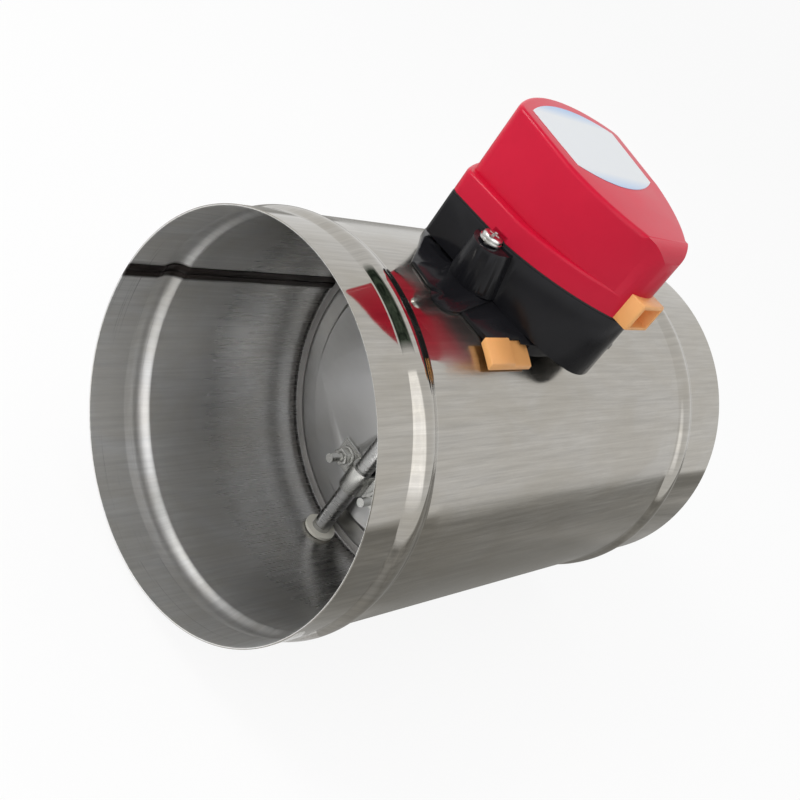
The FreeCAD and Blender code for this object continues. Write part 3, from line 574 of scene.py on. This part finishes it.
# The roof slopes along Y and bends down over the nose; it is made as a prism across X
def roofPrism(name, drop=0.0):
    tilt = math.radians(cover["slope"])
    radius = cover["bend"] - drop
    front = cover["noseY"] + drop
    centreY = front + radius
    centreZ = (cover["top"] - drop + math.tan(tilt) * (centreY - radius * math.sin(tilt))
               - radius * math.cos(tilt))
    outline = []
    for n in range(cover["bendSteps"] + 1):
        angle = math.pi - (math.pi / 2 - tilt) * n / cover["bendSteps"]
        outline.append((centreY + radius * math.cos(angle), centreZ + radius * math.sin(angle)))
    farY = halfWidth = cover["toolReach"]
    lastY, lastZ = outline[-1]
    outline.append((farY, lastZ + math.tan(tilt) * (farY - lastY)))
    outline += [(farY, cover["toolFoot"]), (front, cover["toolFoot"])]
    deselectAll()
    bpy.ops.mesh.primitive_circle_add(vertices=len(outline), radius=cover["start"], fill_type="NGON")
    piece = startPiece(name)
    for vertex, (y, z) in zip(piece.data.vertices, outline):
        vertex.co = (cover["x"] - halfWidth, y, z)
    bpy.ops.object.mode_set(mode="EDIT")
    bpy.ops.mesh.select_all(action="SELECT")
    bpy.ops.mesh.extrude_region_move(TRANSFORM_OT_translate={"value": (2 * halfWidth, 0, 0)})
    bpy.ops.object.mode_set(mode="OBJECT")
    outwardNormals(piece)
    return piece


def cylinderAt(name, radius, low, high, x, y, segments=48):
    deselectAll()
    bpy.ops.mesh.primitive_cylinder_add(vertices=segments, radius=radius, depth=high - low,
                                        location=(x, y, (low + high) / 2))
    piece = startPiece(name)
    freeze(piece)
    return piece


sideScrew = {"x": 38.2 * mm, "y": -6.2 * mm, "seat": 93 * mm, "head": 4.2 * mm, "height": 2.6 * mm,
             "notch": 4.9 * mm, "notchTop": 96.5 * mm, "shank": 2 * mm, "tip": 75.5 * mm, "slot": 1.0 * mm,
             "slotDepth": 1.2 * mm, "slotShares": (1.5, 0.9), "round": 1.1 * mm, "roundSteps": 6,
             "below": 1 * mm, "rim": 0.8 * mm, "inset": 0.35 * mm, "bite": 0.4 * mm, "edge": 0.12 * mm,
             "sides": 64, "sharp": 40, "smooth": 35, "merge": 0.004 * mm, "turns": (25, 62)}


def makeCover():
    bottom, ledge, wall = cover["parting"], cover["ledge"], cover["wall"]
    low, high = bottom - cover["below"], cover["top"] + cover["above"]
    rimLow, ledgeLow = ledge + cover["rimAbove"], ledge - cover["ledgeBand"]
    tier = planPrism("coverShell", housingPlan(cover["tier"]), low, high)
    cutOut(tier, roofPrism("roofTool"), "INTERSECT")
    roundChosen(tier, cover["edge"], cover["edgeSteps"], lambda p: p.z > rimLow and p.y > cover["edgeEndY"])
    skirt = planPrism("skirtTool", housingPlan(cover["skirt"]), low, ledge)
    roundChosen(skirt, cover["ledgeEdge"], cover["ledgeSteps"], lambda p: p.z > ledgeLow)
    cutOut(tier, skirt, "UNION")
    deselectAll()
    trimWidth, trimHeight = cover["trim"]
    bpy.ops.mesh.primitive_cube_add(size=1, location=(cover["x"], 0, bottom - trimHeight / 2))
    trim = startPiece("trimTool")
    trim.scale = (trimWidth, trimWidth, trimHeight)
    freeze(trim)
    cutOut(tier, trim)
    hollow = planPrism("hollowTool", housingPlan(cover["tier"], wall), low, high)
    cutOut(hollow, roofPrism("roofTool", wall), "INTERSECT")
    cutOut(tier, hollow)
    cutOut(tier, planPrism("hollowTool", housingPlan(cover["skirt"], wall), low, ledge - wall))
    notchLow, notchHigh = bottom - sideScrew["below"], sideScrew["notchTop"]
    for side in (-1, 1):
        notch = cylinderAt("notchTool", sideScrew["notch"], notchLow, notchHigh,
                           cover["x"] + side * sideScrew["x"], sideScrew["y"])
        cutOut(tier, notch)
    outwardNormals(tier)
    smooth(tier, cover["smooth"])
    wear(tier, "red")
    return tier


coverShell = makeCover()
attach(coverShell, "duct")
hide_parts("actuator_cover")
print("cover done", len(coverShell.data.polygons))


# Pieces whose CAD shape is right: a merged copy with rounded edges takes the node's place

def dress(node, pieceName, key, slotName, edge, body):
    deselectAll()
    copy = nodes[node].copy()
    copy.data = nodes[node].data.copy()
    copy.parent = None
    copy.name = pieceName
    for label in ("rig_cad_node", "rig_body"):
        if label in copy:
            del copy[label]
    scene.collection.objects.link(copy)
    makeActive(copy)
    bpy.ops.object.mode_set(mode="EDIT")
    bpy.ops.mesh.select_all(action="SELECT")
    bpy.ops.mesh.remove_doubles(threshold=meshing["copyMerge"])
    bpy.ops.mesh.dissolve_limited(angle_limit=math.radians(meshing["flat"]))
    bpy.ops.object.mode_set(mode="OBJECT")
    if edge:
        roundEdges(copy, edge, 2)
    smooth(copy, meshing["sharp"])
    wear(copy, key)
    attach(copy, body)
    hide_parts(node)


# Each row: CAD node, new piece, finish, record slot, edge rounding and body
dressedPieces = (
    ("actuator_base", "baseTray", "black", "black_plastic", 0.5 * mm, "duct"),
    ("mounting_bracket", "bracketSaddle", "black", "black_plastic", 0.5 * mm, "duct"),
    ("cable_socket", "cableSocket", "orange", "orange_plastic", 0.35 * mm, "duct"),
    ("lower_socket", "lowerSocket", "orange", "orange_plastic", 0.35 * mm, "duct"),
    ("label_plate", "labelFilmPlate", "label", "label_film", 0, "duct"),
    ("blade_disc", "bladeDisc", "blade", "blade_steel", 0.15 * mm, "blade"),
    ("blade_seal", "bladeSeal", "seal", "seal_rubber", 0.2 * mm, "blade"),
    ("shaft_straps", "shaftStraps", "zinc", "zinc_steel", 0.25 * mm, "blade"),
    ("blade_nuts", "bladeNuts", "zinc", "zinc_steel", 0.25 * mm, "blade"),
    ("bolt_washers", "boltWashers", "zinc", "zinc_steel", 0.12 * mm, "blade"))
for row in dressedPieces:
    dress(*row)
print("CAD shapes dressed")


# The two screws that show beside the cover: a flat rim, a domed head and a crossed slot

def makeSideScrew(side):
    x, y, seat = cover["x"] + side * sideScrew["x"], sideScrew["y"], sideScrew["seat"]
    rim = cylinderAt("sideScrew" + ("Rear" if side > 0 else "Front"), sideScrew["head"], seat,
                     seat + sideScrew["rim"], x, y, sideScrew["sides"])
    head = cylinderAt("headTool", sideScrew["head"] - sideScrew["inset"], seat, seat + sideScrew["height"],
                      x, y, sideScrew["sides"])
    roundEdges(head, sideScrew["round"], sideScrew["roundSteps"], sideScrew["sharp"])
    cutOut(rim, head, "UNION")
    shank = cylinderAt("shankTool", sideScrew["shank"], sideScrew["tip"], seat + sideScrew["bite"], x, y)
    cutOut(rim, shank, "UNION")
    turn = math.radians(sideScrew["turns"][0 if side < 0 else 1])
    for quarter, share in zip((0, math.pi / 2), sideScrew["slotShares"]):
        deselectAll()
        bpy.ops.mesh.primitive_cube_add(size=1, location=(x, y, seat + sideScrew["height"]),
                                        rotation=(0, 0, turn + quarter))
        slot = startPiece("slotTool")
        slot.scale = (share * sideScrew["head"], sideScrew["slot"], 2 * sideScrew["slotDepth"])
        freeze(slot)
        cutOut(rim, slot)
    roundEdges(rim, sideScrew["edge"], 2, sideScrew["sharp"])
    bpy.ops.object.mode_set(mode="EDIT")
    bpy.ops.mesh.select_all(action="SELECT")
    bpy.ops.mesh.remove_doubles(threshold=sideScrew["merge"])
    bpy.ops.mesh.dissolve_degenerate(threshold=sideScrew["merge"])
    bpy.ops.object.mode_set(mode="OBJECT")
    smooth(rim, sideScrew["smooth"])
    wear(rim, "zinc")
    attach(rim, "duct")
    return rim


sideScrews = [makeSideScrew(side) for side in (-1, 1)]
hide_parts("base_screws")
print("screws done")


# Nodes that stay as they are, with a better finish

keptFinishes = {
    "zinc": ["bracket_screws", "cover_screws", "deck_screws", "motor_screws", "board_screws", "blade_bolts"],
    "shaft": ["blade_shaft", "shaft_clip", "gear_pin", "idler_axle"],
    "nylon": ["upper_bush", "lower_bush", "board_spacers"],
    "gasket": ["cover_gasket"], "deck": ["gear_deck"], "motor": ["motor_body"], "board": ["circuit_board"],
    "terminal": ["terminal_block"], "brass": ["output_gear"], "gearSteel": ["idler_pinion", "motor_pinion"],
    "gearPlastic": ["idler_gear"]}
for key, names in keptFinishes.items():
    for name in names:
        wear(nodes[name], key)


# Floor, lamps and camera

# Rays that show the plain backdrop: those of the camera, of reflections and of transmission
def seenRays(tree):
    paths = addNode(tree, "ShaderNodeLightPath")
    mirrored = mathNode(tree, "MAXIMUM", paths.outputs["Is Glossy Ray"], paths.outputs["Is Transmission Ray"])
    return mathNode(tree, "MAXIMUM", paths.outputs["Is Camera Ray"], mirrored)


stage = {"floor": 60.0, "middle": 0.115, "drop": 0.5 * mm, "share": 0.9, "paper": 0.9, "paperRough": 0.8,
         "fromSky": 0.5, "seenSky": 1.0}
deselectAll()
bpy.ops.mesh.primitive_plane_add(size=stage["floor"], location=(stage["middle"], 0, cadLow.z - stage["drop"]))
floor = startPiece("floor")
floorMaterial, floorTree, floorShader = newMaterial("floorPaper")
floorShader.inputs["Base Color"].default_value = (*(stage["paper"],) * 3, 1)
floorShader.inputs["Roughness"].default_value = stage["paperRough"]
glow = addNode(floorTree, "ShaderNodeEmission", Color=(1, 1, 1, 1), Strength=1.0)
plainShare = mathNode(floorTree, "MULTIPLY", seenRays(floorTree), stage["share"])
mixer = addNode(floorTree, "ShaderNodeMixShader")
floorTree.links.new(plainShare, mixer.inputs[0])
floorTree.links.new(floorShader.outputs[0], mixer.inputs[1])
floorTree.links.new(glow.outputs[0], mixer.inputs[2])
floorTree.links.new(mixer.outputs[0], floorTree.nodes["Material Output"].inputs["Surface"])
floor.data.materials.append(floorMaterial)

world = bpy.data.worlds.new("studio")
scene.world = world
world.use_nodes = True
worldTree = world.node_tree
backdrop = worldTree.nodes["Background"]
backdrop.inputs["Color"].default_value = (1, 1, 1, 1)
skyStrength = spread(worldTree, seenRays(worldTree), 0, 1, stage["fromSky"], stage["seenSky"])
worldTree.links.new(skyStrength, backdrop.inputs["Strength"])


# Cards round the object that only reflections show, as trees, ground and open sky would
leafPattern = {"settings": (6, 0.7, 0.8), "band": (0.42, 0.66)}
cards = {
    "treeCard": {"place": (-0.06, 0.21, 1.25), "size": (1.32, 1.08), "tilt": 0, "grain": 9, "fade": 0.12,
                 "low": (0.020, 0.029, 0.022), "high": (0.12, 0.16, 0.12)},
    "groundCard": {"place": (-0.74, -0.45, cadLow.z), "size": (1.6, 3.2), "tilt": 0, "grain": 5, "fade": 0.3,
                   "low": (0.40, 0.397, 0.38), "high": (0.60, 0.595, 0.58)},
    "sideGroundCard": {"place": (0.4875, 0.07, cadLow.z), "size": (1.175, 1.66), "tilt": 0, "grain": 4,
                       "fade": 0.16, "low": (0.30, 0.295, 0.28), "high": (0.50, 0.49, 0.47)},
    "skyCard": {"place": (-0.25, -1.0, 1.30), "size": (1.9, 2.4), "tilt": 90, "grain": 3, "fade": 0.1,
                "low": (1.9, 1.9, 1.94), "high": (2.2, 2.2, 2.2)}}


def reflectedCard(name, place, size, tilt, low, high, grain, fade):
    deselectAll()
    bpy.ops.mesh.primitive_plane_add(size=1, location=place, rotation=(math.radians(tilt), 0, 0))
    card = startPiece(name)
    card.scale = (*size, 1)
    material, tree, shader = newMaterial(name + "Paint")
    leaves = noise(tree, objectCoordinates(tree, (*size, 1)), grain, *leafPattern["settings"])
    paint = addNode(tree, "ShaderNodeEmission", Strength=1.0)
    tone = blendColours(tree, spread(tree, leaves, *leafPattern["band"], 0, 1), low, high)
    tree.links.new(tone, paint.inputs["Color"])
    parts = addNode(tree, "ShaderNodeSeparateXYZ")
    tree.links.new(objectCoordinates(tree), parts.inputs["Vector"])
    offEdge = mathNode(tree, "MAXIMUM", mathNode(tree, "ABSOLUTE", parts.outputs["X"]),
                       mathNode(tree, "ABSOLUTE", parts.outputs["Y"]))
    mixer = addNode(tree, "ShaderNodeMixShader")
    tree.links.new(spread(tree, offEdge, 0.5 - fade, 0.5, 0, 1), mixer.inputs[0])
    tree.links.new(paint.outputs[0], mixer.inputs[1])
    tree.links.new(addNode(tree, "ShaderNodeBsdfTransparent").outputs[0], mixer.inputs[2])
    tree.links.new(mixer.outputs[0], tree.nodes["Material Output"].inputs["Surface"])
    card.data.materials.append(material)
    for ray in ("camera", "diffuse", "transmission", "shadow"):
        setattr(card, "visible_" + ray, False)


for name, values in cards.items():
    reflectedCard(name, **values)

lamps = {"keyLamp": {"place": (-0.60, 0.62, 1.04), "size": (0.45, 0.45), "power": 6, "glossy": True},
         "topLamp": {"place": (0.25, 0.1, 0.95), "size": (0.9, 0.7), "power": 1.5, "glossy": False},
         "fillLamp": {"place": (-0.95, 0.05, 0.75), "size": (1.2, 0.5), "power": 4.5, "glossy": False}}
lampAim = Vector((0.115, 0, 0.02))


def softLamp(name, place, size, power, glossy):
    lamp = bpy.data.lights.new(name, "AREA")
    lamp.shape = "RECTANGLE"
    lamp.size, lamp.size_y = size
    lamp.energy = power
    holder = bpy.data.objects.new(name, lamp)
    scene.collection.objects.link(holder)
    holder.location = place
    holder.visible_glossy = glossy
    holder.rotation_euler = (lampAim - Vector(place)).to_track_quat("-Z", "Y").to_euler()


for name, values in lamps.items():
    softLamp(name, **values)

view = {"place": (-0.22885, -0.18335, 0.21452), "right": (0.6547, -0.5434, 0.5254),
        "up": (0.0372, 0.7174, 0.6956), "back": (-0.7550, -0.4359, 0.4899),
        "lens": 47.90, "sensor": 36, "nearest": 0.01}
cameraData = bpy.data.cameras.new("camera")
cameraData.lens = view["lens"]
cameraData.sensor_width = view["sensor"]
cameraData.clip_start = view["nearest"]
camera = bpy.data.objects.new("camera", cameraData)
scene.collection.objects.link(camera)
turned = Matrix((view["right"], view["up"], view["back"])).transposed().to_4x4()
camera.matrix_world = Matrix.Translation(view["place"]) @ turned
scene.camera = camera
scene.view_settings.view_transform = "Standard"
print("stage set")
